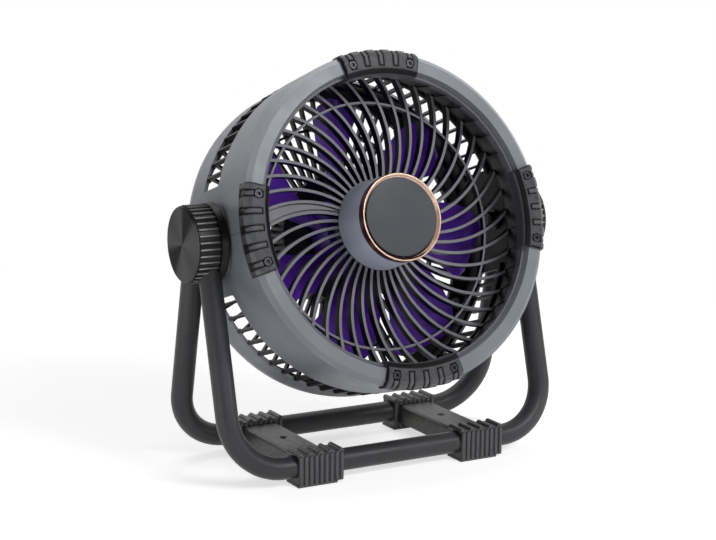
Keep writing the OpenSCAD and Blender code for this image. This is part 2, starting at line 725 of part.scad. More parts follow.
module front_grille() {
    step = 360 / rib_n;
    groove = 1.1;
    back = grille_d - rib_depth;
    color(C_GRILLE) head() difference() {
        union() {
            ring(grille_ring_r, grille_ring_r - 2.6, back + 2.4, grille_d);
            ring(mid_ring_r + 1, mid_ring_r - 1, back + 2, grille_d - 1);
            ring(grille_hub_r, pod_r - 6, back, grille_d);
            ring(pod_r, 8, back, back + 3);
            for (i = [0 : rib_n - 1]) rotate([0, 0, rib_phase + i * step]) swirl_rib();
            rotate([0, 0, rib_phase + spoke_after * step]) {
                between_ribs(0, back + 1, grille_d - 2.4);
                between_ribs(rib_w / 2 + groove, back + 1.4, grille_d - 0.8);
            }
        }
        around(3, 90) translate([pod_screw_r, 0, back - 1]) cylinder(r = pod_bolt_r + seat, h = 5, $fn = 24);
    }
}

// ---------- centre pod ----------

pod_front_r = pod_r - 1.5;  // radius of the pod at the copper ring
panel_r = pod_front_r - 3.6;
pod_wall = 2.4;
pod_screw_r = pod_r - 11;
pod_bolt_r = 1.4;
panel_deep = 2.4;           // the panel lies this far behind the front of the copper ring
board_d = ring_d - 8;       // back face of the display board

module centre_pod() {
    top = ring_d - ring_depth;
    color([0.60, 0.64, 0.74]) head() difference() {
        union() {
            rotate_extrude() polygon([[0, grille_d + seat], [pod_r, grille_d + seat], [pod_front_r, top],
                [pod_front_r - pod_wall, top], [pod_r - pod_wall, grille_d + pod_wall],
                [0, grille_d + pod_wall]]);
            around(3, 90) translate([pod_screw_r, 0, grille_d + 1])
                cylinder(r = 3, h = board_d - grille_d - 1.1, $fn = 32);
        }
        translate([0, 0, grille_d - 1]) cylinder(r = 8, h = 6);
        around(3, 90) translate([pod_screw_r, 0, grille_d - 1]) cylinder(r = pod_bolt_r, h = 14, $fn = 24);
    }
}

module pod_screws() {
    back = grille_d - rib_depth;
    color(C_STEEL) head() around(3, 90) translate([pod_screw_r, 0, 0]) {
        translate([0, 0, back - 2]) cylinder(r = 2.6, h = 1.9, $fn = 24);
        translate([0, 0, back - 1]) cylinder(r = pod_bolt_r - run, h = rib_depth + 10, $fn = 24);
    }
}

module copper_ring() {
    r = pod_front_r;
    rim = 1.3;
    bore = panel_r + 0.5;
    color(C_COPPER) head() rotate_extrude() polygon([[r, ring_d - ring_depth + seat], [r, ring_d - 0.4],
        [r - 0.4, ring_d], [r - rim, ring_d], [bore + 0.6, ring_d - panel_deep + 0.2],
        [bore, ring_d - panel_deep - 0.2], [bore, ring_d - ring_depth + seat]]);
}

module front_panel() {
    panel_t = 1.7;
    color([0.30, 0.31, 0.33]) head() {
        translate([0, 0, ring_d - panel_deep - panel_t]) cylinder(r = panel_r, h = panel_t);
        ring(panel_r - 0.6, panel_r - 2.6, board_d + 1.7, ring_d - panel_deep - panel_t + 0.1);
    }
}

module display_board() {
    lamp_n = 12;
    color([0.12, 0.35, 0.2]) head() {
        translate([0, 0, board_d]) cylinder(r = panel_r - 0.4, h = 1.6);
        around(lamp_n) translate([panel_r - 12, -1.75, board_d + 1.5]) cube([3.5, 3.5, 1.4]);
    }
}

// ---------- rear grille and housing ----------

rear_screw_r = barrel_r - 9.7;
rear_bolt_r = 1.6;
flange_out_r = ledge_r + 4.8;
house_front = 43;           // front wall of the rear housing, behind the tilt axis
house_wall = 2.2;
base_screw_r = 15;

module rear_grille() {
    rib_back = ledge_d + 4;
    mid_r = (housing_r + ledge_r) / 2 + 8;
    color(C_BLACK) head() difference() {
        union() {
            ring(flange_out_r, ledge_r - 2.6, -ledge_d - 2.6, -ledge_d - seat);
            ring(ledge_r - 0.2, ledge_r - 2.6, -ledge_d - 2, 2 - ledge_d);
            ring(mid_r + 1.1, mid_r - 1.1, -rib_back, 2 - ledge_d);
            around(rear_ribs) translate([housing_r - 1, -1.1, -rib_back])
                cube([ledge_r - housing_r - 1, 2.2, rib_back - ledge_d + 2]);
            ring(housing_r, housing_r - house_wall, -cover_d + 7, -house_front);
            ring(housing_r - 1, 5, -house_front - house_wall, -house_front);
            for (a = cover_screw_angles) rotate([0, 0, a])
                translate([cover_screw_r, 0, -cover_d + 8])
                    cylinder(r = 3.2, h = cover_d - 9 - house_front, $fn = 32);
        }
        for (a = [30 : 60 : 330]) rotate([0, 0, a]) translate([rear_screw_r, 0, -rear_d])
            cylinder(r = rear_bolt_r + seat, h = 12, $fn = 24);
        for (a = cover_screw_angles) rotate([0, 0, a]) translate([cover_screw_r, 0, -cover_d])
            cylinder(r = rear_bolt_r, h = 18, $fn = 24);
        around(3) translate([base_screw_r, 0, -house_front - 5]) cylinder(r = 1.7, h = 10, $fn = 24);
    }
}

module rear_screws() {
    color(C_STEEL) head() for (a = [30 : 60 : 330]) rotate([0, 0, a]) translate([rear_screw_r, 0, 0]) {
        translate([0, 0, -ledge_d - 4.6]) cylinder(r = 2.5, h = 1.9, $fn = 24);
        translate([0, 0, -ledge_d - 4]) cylinder(r = rear_bolt_r - run, h = 6, $fn = 24);
    }
}

cover_screw_angles = [45, 135, 225, 315];
cover_screw_r = housing_r - house_wall - 3.6;

module rear_cover() {
    edge_d = cover_d - 7 + seat;
    color(C_BLACK) head() difference() {
        union() {
            rotate_extrude() polygon([[0, -cover_d], [housing_r - 5, -cover_d],
                [housing_r - 1.5, 1.5 - cover_d], [housing_r, 5 - cover_d], [housing_r, -edge_d],
                [housing_r - house_wall, -edge_d], [housing_r - house_wall, 5 - cover_d],
                [housing_r - 6, house_wall - cover_d], [0, house_wall - cover_d]]);
            for (a = cover_screw_angles) rotate([0, 0, a]) translate([cover_screw_r, 0, 1 - cover_d])
                cylinder(r = 3.2, h = 7 - seat, $fn = 32);
        }
        for (a = cover_screw_angles) rotate([0, 0, a]) translate([cover_screw_r, 0, -cover_d - 1]) {
            cylinder(r = rear_bolt_r + seat, h = 10, $fn = 24);
            cylinder(r = 3.2, h = 2.2, $fn = 24);
        }
        translate([0, button_y, -cover_d - 1]) cylinder(r = button_r + 0.4, h = 10, $fn = 48);
        translate([port_x - port_w / 2 - 0.2, port_y - port_h / 2 - 0.2, -cover_d - 1])
            cube([port_w + 0.4, port_h + 0.4, 10]);
        for (i = [-3 : 3]) translate([i * 6 - 1, 12, -cover_d - 1]) cube([2, 20, 10]);
    }
}

module cover_screws() {
    color(C_STEEL) head() for (a = cover_screw_angles) rotate([0, 0, a]) translate([cover_screw_r, 0, 0]) {
        translate([0, 0, -cover_d - 0.8]) cylinder(r = 2.9, h = 1.9, $fn = 24);
        translate([0, 0, -cover_d]) cylinder(r = rear_bolt_r - run, h = 16, $fn = 24);
    }
}

// ---------- motor ----------

shaft_r = 3;
bearing_r = 8;
bearing_w = 5;
stator_r = 26;
magnet_r = 30.5;
tube_out_r = 10;
motor_back = house_front - seat;        // the motor stands on the housing's front wall

module motor_base() {
    color(C_STEEL) head() difference() {
        union() {
            translate([0, 0, -motor_back]) cylinder(r = 20, h = 2.4);
            translate([0, 0, -motor_back]) cylinder(r = tube_out_r, h = 30);
        }
        translate([0, 0, -motor_back - 1]) cylinder(r = bearing_r - 1.2, h = 40);
        translate([0, 0, -motor_back + 25 - bearing_w + 5]) cylinder(r = bearing_r, h = 20);
        translate([0, 0, -motor_back - 1]) cylinder(r = bearing_r, h = bearing_w + 1);
        around(3) translate([base_screw_r, 0, -motor_back - 1]) cylinder(r = 1.7, h = 10, $fn = 24);
    }
}

module motor_screws() {
    color(C_STEEL) head() around(3) translate([base_screw_r, 0, 0]) {
        translate([0, 0, 2.4 + seat - motor_back]) cylinder(r = 2.7, h = 1.7, $fn = 24);
        translate([0, 0, -motor_back - 2]) cylinder(r = 1.6, h = 5, $fn = 24);
    }
}

module motor_bearings() {
    color([0.75, 0.75, 0.77]) head() {
        ring(bearing_r, shaft_r + run, -motor_back, -motor_back + bearing_w);
        ring(bearing_r, shaft_r + run, -motor_back + 25, -motor_back + 25 + bearing_w);
    }
}

module motor_stator() {
    tooth_n = 9;
    color([0.7, 0.42, 0.22]) head() translate([0, 0, -motor_back + 6]) difference() {
        union() {
            ring(tube_out_r + 5, tube_out_r, 0, 14);
            around(tooth_n) {
                translate([tube_out_r + 3, -2.6, 0]) cube([stator_r - tube_out_r - 6, 5.2, 14]);
                rotate([0, 0, -14]) rotate_extrude(angle = 28)
                    translate([stator_r - 3.5, 0]) square([3.5, 14]);
            }
        }
    }
}

module motor_magnets() {
    color([0.35, 0.35, 0.37]) head() ring(magnet_r, stator_r + 0.6, -motor_back + 5, -motor_back + 21);
}

module motor_shaft() {
    color(C_STEEL) head() translate([0, 0, -motor_back + 0.2]) cylinder(r = shaft_r, h = motor_back + 12);
}

// ---------- rotor ----------

hub_front = 6;              // front of the rotor hub, forward of the tilt axis
hub_skirt = 30;             // rear edge of the rotor hub, behind the tilt axis
root_r = rotor_r - 1.4;
corner_r = 13;              // length over which the blade tips are rounded
lead_tip = 77.5;            // angle of the leading edge at the tip
lead_sweep = 22.5;          // how far the leading edge lies back at the root
trail_root = 125.5;         // angle of the trailing edge at the root
trail_sweep = 19.5;         // how far the trailing edge leans forward at the tip
camber = 3.2;

// 0 at the tip, 1 at the root
function inward(r) = (tip_r - r) / (tip_r - root_r);
function corner(r) = let (u = max(0, (r - tip_r + corner_r) / corner_r)) 1 - sqrt(max(0, 1 - u * u));
function lead_angle(r) = lead_tip + lead_sweep * pow(inward(r), 1.56) + 4.5 * corner(r);
function trail_angle(r) = trail_root - trail_sweep * pow(1 - inward(r), 1.3) - 7 * corner(r);
function blade_depth(r) = blade_front + blade_rear - 4 * (1 - inward(r));

// point on a blade: s runs from the leading to the trailing edge, side is -1 on the back and 1 on the front
function blade_point(r, s, side) =
    let (a = lead_angle(r) + s * (trail_angle(r) - lead_angle(r)),
        fat = (0.25 + 0.75 * sqrt(4 * s * (1 - s))) * (0.6 + 0.4 * inward(r)) * blade_t,
        mid = blade_front - (1 - s) * blade_depth(r) - camber * 4 * s * (1 - s))
    [r * cos(a), r * sin(a), mid + side * fat / 2];

module blade() {
    nr = 9;
    ns = 9;
    radii = [for (i = [0 : nr]) root_r + (tip_r - root_r) * (1 - pow(1 - i / nr, 1.35))];
    points = [for (side = [-1, 1], r = radii, j = [0 : ns]) blade_point(r, j / ns, side)];
    row = ns + 1;
    sheet = row * (nr + 1);
    grid = [for (i = [0 : nr - 1], j = [0 : ns - 1]) i * row + j];
    back = [for (p = grid) each [[p, p + row + 1, p + 1], [p, p + row, p + row + 1]]];
    front = [for (f = back) [f[2] + sheet, f[1] + sheet, f[0] + sheet]];
    rim = concat([for (j = [0 : ns]) j], [for (i = [1 : nr]) i * row + ns],
        [for (j = [ns - 1 : -1 : 0]) nr * row + j], [for (i = [nr - 1 : -1 : 1]) i * row]);
    n = len(rim);
    edge = [for (i = [0 : n - 1]) let (p = rim[i], q = rim[(i + 1) % n])
        each [[p, q, q + sheet], [p, q + sheet, p + sheet]]];
    polyhedron(points = points, faces = concat(back, front, edge));
}

module fan_rotor() {
    wall = 2.4;
    color(C_VIOLET) head() rotate([0, 0, rotor_phase]) {
        difference() {
            rotate_extrude() polygon([[0, hub_front], [rotor_r - 9, hub_front],
                [rotor_r - 3, hub_front - 1.8], [rotor_r, hub_front - 6], [rotor_r, -hub_skirt],
                [magnet_r + run, -hub_skirt], [magnet_r + run, 22 - motor_back],
                [magnet_r - 2, 23 - motor_back], [magnet_r - 2, hub_front - wall - 4],
                [9, hub_front - wall], [9, 32 - motor_back], [0, 32 - motor_back]]);
            translate([0, 0, -50]) cylinder(r = shaft_r, h = 100);
        }
        around(blade_n) blade();
    }
}

module rotor_nut() {
    color(C_STEEL) head() difference() {
        translate([0, 0, hub_front + seat]) cylinder(r = 6, h = 5, $fn = 6);
        translate([0, 0, -50]) cylinder(r = shaft_r, h = 100);
    }
}

// ---------- rear housing contents ----------

cell_pitch = 2 * cell_r + 0.6;
cell_n = 4;
cell_d = house_front + house_wall + 0.4 + cell_r;       // centre line of the cells, behind the tilt axis
holder_d = cell_d + cell_r + 0.9;                       // back of the holder
board_t = 1.6;
board_back = holder_d + seat + board_t;                 // back of the control board

module cell_row(r, len) {
    for (i = [0 : cell_n - 1]) translate([-len / 2, (i - (cell_n - 1) / 2) * cell_pitch, -cell_d])
        rotate([0, 90, 0]) cylinder(r = r, h = len);
}

module battery_cells() {
    color([0.25, 0.45, 0.7]) head() cell_row(cell_r, cell_len);
}

module battery_holder() {
    wide = 52;
    color([0.15, 0.15, 0.16]) head() difference() {
        translate([-wide / 2, -cell_pitch * cell_n / 2, -holder_d])
            cube([wide, cell_pitch * cell_n, holder_d - cell_d]);
        cell_row(cell_r + seat, cell_len + 4);
    }
}

module control_board() {
    color([0.1, 0.32, 0.2]) head() translate([-26, port_y - 3, -board_back]) cube([52, 70, board_t]);
}

button_r = 6;
button_y = -24;
button_travel = 1.5;
button_rim_t = 1.4;
button_rim_d = cover_d - house_wall - swing - button_rim_t;     // front of the button's rim
port_x = 0;
port_y = -43;
port_w = 22;
port_h = 9;
port_mouth_d = cover_d - 1.8;
flap_t = 1.5;

module power_button() {
    color([0.5, 0.5, 0.52]) head() translate([0, button_y, 0]) {
        translate([0, 0, -cover_d - 1.8]) cylinder(r = button_r, h = cover_d + 1.8 - button_rim_d, $fn = 48);
        translate([0, 0, -button_rim_d - button_rim_t])
            cylinder(r = button_r + 1.4, h = button_rim_t, $fn = 48);
    }
}

module button_switch() {
    free = button_rim_d - button_travel - 0.2;
    color([0.2, 0.2, 0.21]) head() translate([0, button_y, 0]) {
        translate([-5, -5, -free + 0.8]) cube([10, 10, free - 0.8 - board_back]);
        translate([0, 0, -free]) cylinder(r = 2.2, h = free - board_back, $fn = 32);
    }
}

module charge_port() {
    color([0.35, 0.35, 0.37]) head() translate([port_x, port_y, -port_mouth_d]) difference() {
        translate([-port_w / 2, -port_h / 2, 0]) cube([port_w, port_h, port_mouth_d - board_back]);
        translate([-4.6, -1.6, -1]) cube([9.2, 3.2, port_mouth_d - board_back]);
    }
}

module port_flap() {
    color(C_RUBBER) head() translate([port_x - port_w / 2, port_y - port_h / 2, -cover_d])
        cube([port_w, port_h, flap_t]);
}

front_tube();
rear_tube();
plate_left();
plate_right();
foot_front_left();
foot_front_right();
foot_rear_left();
foot_rear_right();
foot_screws();
hub_left();
hub_right();
hub_cap_left();
hub_cap_right();
pivot_bolts();
pivot_nuts();
upper_shell();
lower_shell();
air_duct();
vent_grille_upper();
vent_grille_lower();
guard_top();
guard_right();
guard_bottom();
guard_left();
guard_screws();
front_grille();
centre_pod();
copper_ring();
front_panel();
display_board();
pod_screws();
rear_grille();
rear_screws();
motor_base();
motor_screws();
motor_stator();
motor_bearings();
motor_magnets();
motor_shaft();
fan_rotor();
rotor_nut();
battery_cells();
battery_holder();
control_board();
rear_cover();
cover_screws();
charge_port();
port_flap();
power_button();
button_switch();
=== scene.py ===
"""Finishes, light and camera for a portable camping fan on a tilting tube stand.

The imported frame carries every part. This script gives each part its finish and lights them on a
plain floor. All lengths are metres.
"""

import json
import math

import bmesh
import bpy
from mathutils import Matrix, Vector

TILT = math.radians(17.5)                        # how far the head leans back at rest
PIVOT = Vector((0, 0.0023138, 0.1984))           # middle of the head, on the tilt axis
AHEAD = (0, -math.cos(TILT), math.sin(TILT))     # the way the head blows, at rest
UPWARDS = (0, math.sin(TILT), math.cos(TILT))    # up in the head's own plane

# Head: places along its axis are from the tilt axis, and radii are from its own axis.
FACE_D = 0.0664                                  # front face of the shell
FACE_IN_R = 0.1281                               # inner edge of that face
GUARD_D = 0.0706                                 # front of the corner guards
GUARD_FACES = (                                  # their outer faces, from the front to the side:
    (0.0, 1.0, GUARD_D),                         # slope out, slope along, and reach
    (0.532, 0.847, 0.1332),
    (0.794, 0.607, 0.1539),
    (1.0, 0.0, 0.1441),
)
RING_R = 0.0375                                  # outside of the copper ring
PANEL_R = 0.0339                                 # outside of the display window
POD_FRONT_D = 0.0634                             # where the ring meets the pod

# Hubs: places along the tilt axis are from the head's middle, and radii are from that axis.
HUB_R = 0.0326                                   # crests of the ribs
HUB_RIBS_X = 0.150                               # where the ribs start

# painted shade of the copper ring's outer wall, used on the ring and on the pod beside it
COPPER_WALL_SHADE = (74, 28, 18)


# ---------- shader building ----------

def linear(colour):
    """A display colour of three numbers from 0 to 255 as the linear colour with alpha."""
    def channel(v):
        v /= 255
        return v / 12.92 if v <= 0.04045 else ((v + 0.055) / 1.055) ** 2.4
    return tuple(channel(v) for v in colour) + (1.0,)


class Value:
    """A shader socket that Python's own arithmetic works on."""

    def __init__(self, finish, socket):
        self.finish, self.socket = finish, socket

    def math(self, operation, *values):
        return self.finish.node("ShaderNodeMath", {"operation": operation},
                                dict(enumerate(values)))

    def __add__(self, other):
        return self.math("ADD", self, other)

    def __sub__(self, other):
        return self.math("SUBTRACT", self, other)

    def __rsub__(self, other):
        return self.math("SUBTRACT", other, self)

    def __mul__(self, other):
        return self.math("MULTIPLY", self, other)

    def __truediv__(self, other):
        return self.math("DIVIDE", self, other)

    def __pow__(self, other):
        return self.math("POWER", self, other)

    __radd__ = __add__
    __rmul__ = __mul__

    def sin(self):
        return self.math("SINE", self)

    def size(self):
        return self.math("ABSOLUTE", self)

    def most(self, other):
        return self.math("MAXIMUM", self, other)

    def fraction(self):
        return self.math("FRACT", self)

    def ramp(self, low, high, to_low=0.0, to_high=1.0):
        """Goes smoothly from to_low to to_high as this value goes from low to high."""
        return self.finish.node("ShaderNodeMapRange", {"interpolation_type": "SMOOTHSTEP"},
                                {0: self, 1: low, 2: high, 3: to_low, 4: to_high})

    def mix(self, at_zero, at_one):
        """A colour between two, by this value."""
        return self.finish.node("ShaderNodeMix", {"data_type": "RGBA"},
                                {0: self, 6: at_zero, 7: at_one}, out=2)


class Finish:
    """The nodes of a new material, or of the world, and their output."""

    def __init__(self, name, world=None):
        self.owner = world or bpy.data.materials.new(name)
        self.owner.use_nodes = True
        self.tree = self.owner.node_tree
        self.tree.nodes.clear()
        self.output = self.tree.nodes.new("ShaderNodeOutput" + ("World" if world else "Material"))

    def put(self, socket, value):
        if isinstance(value, Value):
            self.tree.links.new(value.socket, socket)
        else:
            socket.default_value = value

    def node(self, kind, settings=None, values=None, out=0):
        """Adds a node: its settings go first, then the values or links of its sockets."""
        made = self.tree.nodes.new(kind)
        for name, value in (settings or {}).items():
            setattr(made, name, value)
        for key, value in (values or {}).items():
            self.put(made.inputs[key], value)
        return Value(self, made.outputs[out])

    def surface(self, shader):
        self.put(self.output.inputs["Surface"], shader)
        return self.owner

    # places and patterns

    def place(self):
        return self.node("ShaderNodeTexCoord", out="Object")

    def axes(self, vector):
        """The three numbers of a vector."""
        split = self.tree.nodes.new("ShaderNodeSeparateXYZ")
        self.put(split.inputs[0], vector)
        return [Value(self, s) for s in split.outputs]

    def vector(self, operation, *values, out=0):
        return self.node("ShaderNodeVectorMath", {"operation": operation},
                         dict(enumerate(values)), out=out)

    def reach(self, direction):
        """How far each point lies from the head's middle along a direction."""
        moved = self.vector("SUBTRACT", self.place(), tuple(PIVOT))
        return self.vector("DOT_PRODUCT", moved, direction, out="Value")

    def from_axis(self, direction):
        """How far each point lies along an axis through the head's middle, and out from it."""
        side = Vector(direction).orthogonal().normalized()
        up = Vector(direction).cross(side)
        along, across, above = (self.reach(tuple(way)) for way in (direction, side, up))
        return along, (across * across + above * above) ** 0.5

    def turned_to(self, direction):
        """How far the surface faces a direction of the resting part, from -1 to 1."""
        normal = self.node("ShaderNodeTexCoord", out="Normal")
        return self.vector("DOT_PRODUCT", normal, direction, out="Value")

    def noise(self, size, detail=2.0, stretch=(1, 1, 1), roughness=0.5):
        """Soft random pattern whose features are about this size, in metres."""
        at = self.vector("MULTIPLY", self.place(), tuple(s / size for s in stretch))
        return self.node("ShaderNodeTexNoise", None,
                         {"Vector": at, "Scale": 1.0, "Detail": detail, "Roughness": roughness})

    def clouds(self, size, low=0.0, high=1.0):
        """A number that drifts between two values over about this size."""
        return self.noise(size, 3.0).ramp(0.3, 0.7, low, high)

    def patchy(self, size):
        """A number from 0.6 to 1 that varies in patches of about this size; it breaks up painted
        highlights.
        """
        return self.noise(size, 4.0).ramp(0.2, 0.6, 0.6, 1.0)

    def grains(self, size):
        """Distance from the nearest of many small random points, from 0 to about 1."""
        at = self.vector("MULTIPLY", self.place(), (1 / size,) * 3)
        return self.node("ShaderNodeTexVoronoi", None, {"Vector": at, "Scale": 1.0})

    def rounded(self, radius):
        """The surface direction with its sharp edges softened."""
        return self.node("ShaderNodeBevel", {"samples": 6}, {"Radius": radius})

    def edge(self, radius):
        """1 along sharp outer and inner edges, 0 on open faces."""
        true = self.node("ShaderNodeNewGeometry", out="True Normal")
        along = self.vector("DOT_PRODUCT", self.rounded(radius), true, out="Value")
        return (1.0 - along).ramp(0.02, 0.22)

    def bump(self, height, depth, normal=None):
        values = {"Height": height, "Distance": depth, "Strength": 1.0}
        if normal is not None:
            values["Normal"] = normal
        return self.node("ShaderNodeBump", None, values)

    def grained(self, size, depth, radius):
        """The surface direction with fine moulded grain and softened edges."""
        return self.bump(self.grains(size), depth, self.rounded(radius))

    def shader(self, **values):
        """The main surface shader; a socket's name is written with _ for its spaces."""
        made = self.node("ShaderNodeBsdfPrincipled", None,
                         {name.replace("_", " "): value for name, value in values.items()})
        return self.surface(made)


# ---------- finishes ----------

def pod_plastic():
    """Pale bluish grey of the centre pod, with a band of painted shade in dark copper next to the
    ring.
    """
    f = Finish("pod_grey")
    tone = f.clouds(0.035)
    shown = tone.mix(linear((226, 234, 255)), linear((231, 239, 255)))
    along = f.reach(AHEAD)
    # painted shade: the pod's front next to the ring takes the dark copper of the ring's shaded
    # outer wall
    shown = along.ramp(POD_FRONT_D - 0.0024, POD_FRONT_D - 0.0021).mix(shown, linear(COPPER_WALL_SHADE))
    shine = f.clouds(0.012, 0.3, 0.37)
    return f.shader(Base_Color=shown, Roughness=shine, Specular_IOR_Level=0.9,
                    Normal=f.grained(0.0005, 0.000002, 0.0001))


def shell_plastic():
    """Satin grey of the two half shells, with a dark joint line where they meet.

    It is painted near black inside as shade, and its front bevel has a painted pale highlight on
    the upper half."""
    f = Finish("shell_grey")
    tone = f.clouds(0.035)
    shown = tone.mix(linear((132, 134, 142)), linear((138, 140, 148)))
    along, up, facing = f.reach(AHEAD), f.reach(UPWARDS), f.turned_to(AHEAD)
    # painted shade: the inside, behind the front face, is painted near black
    outward = f.reach(f.node("ShaderNodeTexCoord", out="Normal")) - along * facing
    inside = outward.ramp(-0.04, -0.01, 1.0, 0.0)
    inside = inside * along.ramp(FACE_D - 0.01, FACE_D - 0.006, 1.0, 0.0)
    shown = inside.mix(shown, linear((9, 9, 10)))
    # painted highlight: the front bevel is painted pale on its upper half
    bevel = facing.ramp(0.45, 0.6) * facing.ramp(0.8, 0.9, 1.0, 0.0)
    bevel = bevel * along.ramp(FACE_D - 0.0114, FACE_D - 0.0064)
    shown = (bevel * up.ramp(-0.03, 0.05, 0.0, 0.9)).mix(shown, linear((178, 180, 188)))
    joint = up.size().ramp(0.00012, 0.00045, 0.75, 0.0)
    shown = joint.mix(shown, linear((40, 40, 44)))
    shine = f.clouds(0.012, 0.34, 0.4)
    return f.shader(Base_Color=shown, Roughness=shine, Metallic=0.1, Specular_IOR_Level=0.22,
                    Normal=f.grained(0.0006, 0.000012, 0.0006))


def guard_plastic():
    """Black corner guards: painted shade in the grooves, and painted light on what stands out,
    pale where it faces the front, with painted highlights on corners and crests.
    """
    f = Finish("guard_black")
    along, out = f.from_axis(AHEAD)
    faces = [out * slope_out + along * slope_along - reach
             for slope_out, slope_along, reach in GUARD_FACES]
    below = faces[0]
    for face in faces[1:]:
        below = below.most(face)
    raised = below.ramp(-0.0009, -0.0003)
    # painted shade: the grooves are painted darker than what stands out round them
    shown = raised.mix(linear((16, 16, 18)), linear((32, 33, 35)))
    # painted light: the inner border, by the duct, is painted pale grey as if lit
    inside = out.ramp(FACE_IN_R - 0.0012, FACE_IN_R - 0.0004, 1.0, 0.0)
    inside = inside * along.ramp(FACE_D + 0.0008, FACE_D + 0.0018, 1.0, 0.0)
    shown = inside.mix(shown, linear((84, 84, 88)))
    # painted light: raised faces that turn to the front are painted pale, in patches, while the
    # sides stay dark
    facing = f.turned_to(AHEAD)
    lit_raised = raised * f.patchy(0.006)
    shown = (facing.ramp(0.3, 0.95) * lit_raised).mix(shown, linear((86, 87, 90)))
    # painted highlight on the rounded corners
    corner = facing.ramp(0.3, 0.5) * facing.ramp(0.75, 0.95, 1.0, 0.0)
    shown = (corner * lit_raised).mix(shown, linear((112, 113, 116)))
    # painted highlight along the crests
    crest = below.ramp(-0.00018, -0.00004)
    shown = (crest * 0.25).mix(shown, linear((130, 130, 132)))
    shine = f.clouds(0.008, 0.3, 0.38)
    return f.shader(Base_Color=shown, Roughness=shine, Specular_IOR_Level=0.16,
                    Normal=f.grained(0.0008, 0.00002, 0.0009))


def hub_plastic():
    """Black ribbed hubs: painted shade between the ribs and on the collar by the drum, and painted
    highlights along their crests.
    """
    f = Finish("hub_black")
    along, out = f.from_axis((1, 0, 0))
    crest = out.ramp(HUB_R - 0.0003, HUB_R) * out.ramp(HUB_R + 0.0001, HUB_R + 0.0002, 1.0, 0.0)
    reach = along.size()
    ribs = reach.ramp(HUB_RIBS_X, HUB_RIBS_X + 0.003)
    # painted shade: darker between the ribs
    shown = out.ramp(HUB_R - 0.0017, HUB_R - 0.0008).mix(linear((34, 34, 35)),
                                                         linear((62, 62, 64)))
    # painted highlight along the crests, in patches, weaker towards the drum and where they face
    # up
    crest_highlight_or_dark_edge = crest * ribs * reach.ramp(HUB_RIBS_X + 0.002, HUB_RIBS_X + 0.018, 0.25, 1.0)
    crest_highlight_or_dark_edge = crest_highlight_or_dark_edge * f.turned_to((0, 0, 1)).ramp(0.5, 0.95, 1.0, 0.2)
    crest_highlight_or_dark_edge = crest_highlight_or_dark_edge * f.noise(0.004, 3.0).ramp(0.25, 0.6, 0.6, 1.0)
    shown = crest_highlight_or_dark_edge.mix(shown, linear((178, 178, 178)))
    # painted shade: the smooth collar next to the drum is near black
    shown = ribs.mix(linear((12, 12, 13)), shown)
    shine = f.clouds(0.012, 0.3, 0.38)
    return f.shader(Base_Color=shown, Roughness=shine, Specular_IOR_Level=0.2,
                    Normal=f.grained(0.0007, 0.00001, 0.0003))


def grille_plastic(name, front, shaded_flank):
    """Grilles: painted light where they face the front or back, and painted shade, nearly black,
    down their ribs' flanks.
    """
    f = Finish(name)
    facing = f.turned_to(AHEAD).size().ramp(0.35, 0.9)
    tone = f.clouds(0.02, 0.88, 1.0)
    # painted light and shade: faces turned to the front or back take the lit colour, the ribs'
    # flanks the near-black shaded colour
    shown = (facing * tone).mix(linear(shaded_flank), linear(front))
    shine = f.clouds(0.01, 0.34, 0.42)
    return f.shader(Base_Color=shown, Roughness=shine, Specular_IOR_Level=0.12,
                    Normal=f.grained(0.0006, 0.000012, 0.0005))


def duct_plastic():
    """Dark duct: a painted pale light at its front lip, and painted black shade deep inside."""
    f = Finish("duct_dark")
    along = f.reach(AHEAD)
    # painted light at the front lip, fading to painted black shade deep inside
    lit_lip = along.ramp(FACE_D - 0.020, FACE_D - 0.012)
    tone = f.clouds(0.02, 0.85, 1.0)
    shown = (lit_lip * tone).mix(linear((5, 5, 6)), linear((116, 116, 123)))
    shine = f.clouds(0.01, 0.36, 0.44)
    return f.shader(Base_Color=shown, Roughness=shine, Specular_IOR_Level=0.12,
                    Normal=f.grained(0.0006, 0.000012, 0.0004))


def powder_coat():
    """Black powder coat on the bent tubes: fine orange peel over a satin base."""
    f = Finish("powder_coat_black")
    peel = f.noise(0.0016, 2.0)
    tone = f.noise(0.05, 2.0).ramp(0.3, 0.7)
    shown = tone.mix(linear((54, 55, 57)), linear((62, 63, 65)))
    scuff = f.noise(0.006, 5.0, (1, 1, 0.25), 0.65).ramp(0.68, 0.78)
    shown = (scuff * 0.25).mix(shown, linear((92, 93, 95)))
    shine = f.clouds(0.018, 0.38, 0.46)
    return f.shader(Base_Color=shown, Roughness=shine, Specular_IOR_Level=0.34,
                    Normal=f.bump(peel, 0.00006, f.rounded(0.0005)))


def plate_paint():
    """Warm grey satin paint on the two cross plates, with fine drawn lines and dark edges."""
    f = Finish("plate_paint_grey")
    lines = f.noise(0.0009, 3.0, (1, 0.04, 1), 0.7)
    tone = f.noise(0.006, 5.0, roughness=0.65).ramp(0.35, 0.65)
    shown = tone.mix(linear((53, 52, 50)), linear((74, 72, 69)))
    # darker along its edges, in patches
    crest_highlight_or_dark_edge = f.edge(0.0008) * f.noise(0.005, 4.0).ramp(0.42, 0.6)
    shown = (crest_highlight_or_dark_edge * 0.5).mix(shown, linear((48, 47, 47)))
    shine = lines.ramp(0.3, 0.7, 0.36, 0.5)
    return f.shader(Base_Color=shown, Roughness=shine, Metallic=0.25,
                    Normal=f.bump(lines, 0.00002, f.rounded(0.0005)))


